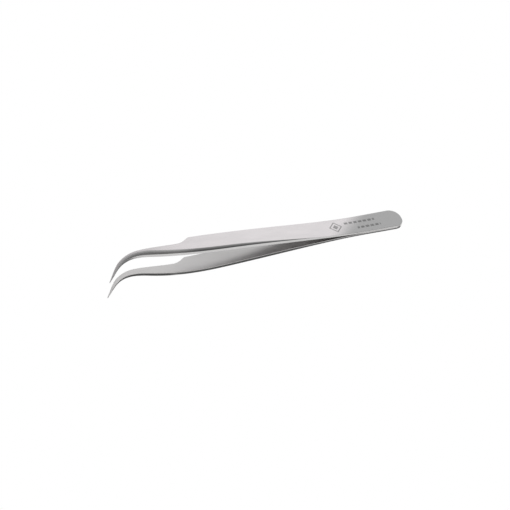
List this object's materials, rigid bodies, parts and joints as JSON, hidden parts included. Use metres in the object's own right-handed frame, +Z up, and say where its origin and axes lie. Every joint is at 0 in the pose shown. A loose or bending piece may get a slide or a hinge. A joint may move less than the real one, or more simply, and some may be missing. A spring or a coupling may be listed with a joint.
{
  "type": "precision tweezers",
  "caption": "Fine-point precision tweezers in satin steel: two sprung arms welded at the tail, each with a shoulder and a thin shank hooked sideways to a needle tip.",
  "frame": {"origin": "bottom centre of the whole tool's box, as it lies on a table on its tail's edge and the lower arm's belly", "axes": "+X towards the welded tail, tips towards -X and hooked towards -Y; +Z up, the way the tips open. The plane between the arms leans 3.46 degrees about Y, because the tool lies on a table"},
  "size_m": [0.115, 0.013, 0.0123],
  "materials": {
    "satin_steel": "satin, fine grain along the arm",
    "weld_metal": "dull"
  },
  "bodies": {
    "tail": {"upper_arm_tail": "satin_steel", "lower_arm_tail": "satin_steel", "tail_spot_welds": "weld_metal"},
    "upper_arm": {"upper_arm": "satin_steel"},
    "lower_arm": {"lower_arm": "satin_steel"}
  },
  "joints": [
    {"name": "upper_arm_flex", "type": "hinge", "parent": "tail", "child": "upper_arm", "pos_m": [0.02956, 0.00241, 0.00303], "axis": [0, -1, 0], "range_deg": [0, 2.36], "stiffness_Nm_per_rad": 3},
    {"name": "lower_arm_flex", "type": "hinge", "parent": "tail", "child": "lower_arm", "pos_m": [0.0295, 0.00241, 0.00204], "axis": [0, 1, 0], "range_deg": [0, 2.36], "stiffness_Nm_per_rad": 3}
  ],
  "couplings": [
    {"joint": "lower_arm_flex", "follows": "upper_arm_flex", "ratio": 1}
  ]
}
